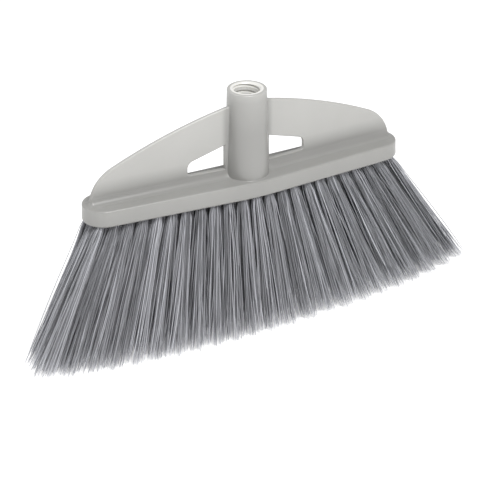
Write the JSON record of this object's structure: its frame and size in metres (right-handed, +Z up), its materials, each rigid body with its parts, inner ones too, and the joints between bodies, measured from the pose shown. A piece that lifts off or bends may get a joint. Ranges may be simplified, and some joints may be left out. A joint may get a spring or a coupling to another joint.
{
  "type": "broom head",
  "caption": "Screw-on broom head: straight bristle block with an arched, pierced web, a threaded handle socket and dense flared bristle tufts.",
  "frame": {"origin": "under the middle of the head, on the plane of the bristle tips", "axes": "+Z up along the handle socket's axis, out of its mouth; +X along the block's length; -Y towards the front, the side the picture shows most of"},
  "size_m": [0.4078, 0.095, 0.1926],
  "materials": {
    "moulding": "satin injection-moulded polypropylene, warm light grey",
    "bristle": "extruded plastic filament, mid grey, paler frayed tips",
    "staple": "drawn flat steel wire"
  },
  "bodies": {
    "root": {"head_moulding": "moulding", "tuft_anchors": "staple", "tuft_rank_01": "bristle", "tuft_rank_02": "bristle", "tuft_rank_03": "bristle", "tuft_rank_04": "bristle", "tuft_rank_05": "bristle", "tuft_rank_06": "bristle", "tuft_rank_07": "bristle", "tuft_rank_08": "bristle", "tuft_rank_09": "bristle", "tuft_rank_10": "bristle", "tuft_rank_11": "bristle", "tuft_rank_12": "bristle", "tuft_rank_13": "bristle", "tuft_rank_14": "bristle", "tuft_rank_15": "bristle", "tuft_rank_16": "bristle", "tuft_rank_17": "bristle", "tuft_rank_18": "bristle", "tuft_rank_19": "bristle", "tuft_rank_20": "bristle", "tuft_rank_21": "bristle", "tuft_rank_22": "bristle", "tuft_rank_23": "bristle", "tuft_rank_24": "bristle", "tuft_rank_25": "bristle", "tuft_rank_26": "bristle", "tuft_rank_27": "bristle", "tuft_rank_28": "bristle", "tuft_rank_29": "bristle", "tuft_rank_30": "bristle", "tuft_rank_31": "bristle", "tuft_rank_32": "bristle", "tuft_rank_33": "bristle", "tuft_rank_34": "bristle", "tuft_rank_35": "bristle", "tuft_rank_36": "bristle", "tuft_rank_37": "bristle", "tuft_rank_38": "bristle", "tuft_rank_39": "bristle", "tuft_rank_40": "bristle", "tuft_rank_41": "bristle", "tuft_rank_42": "bristle", "tuft_rank_43": "bristle", "tuft_rank_44": "bristle", "tuft_rank_45": "bristle"}
  },
  "joints": []
}
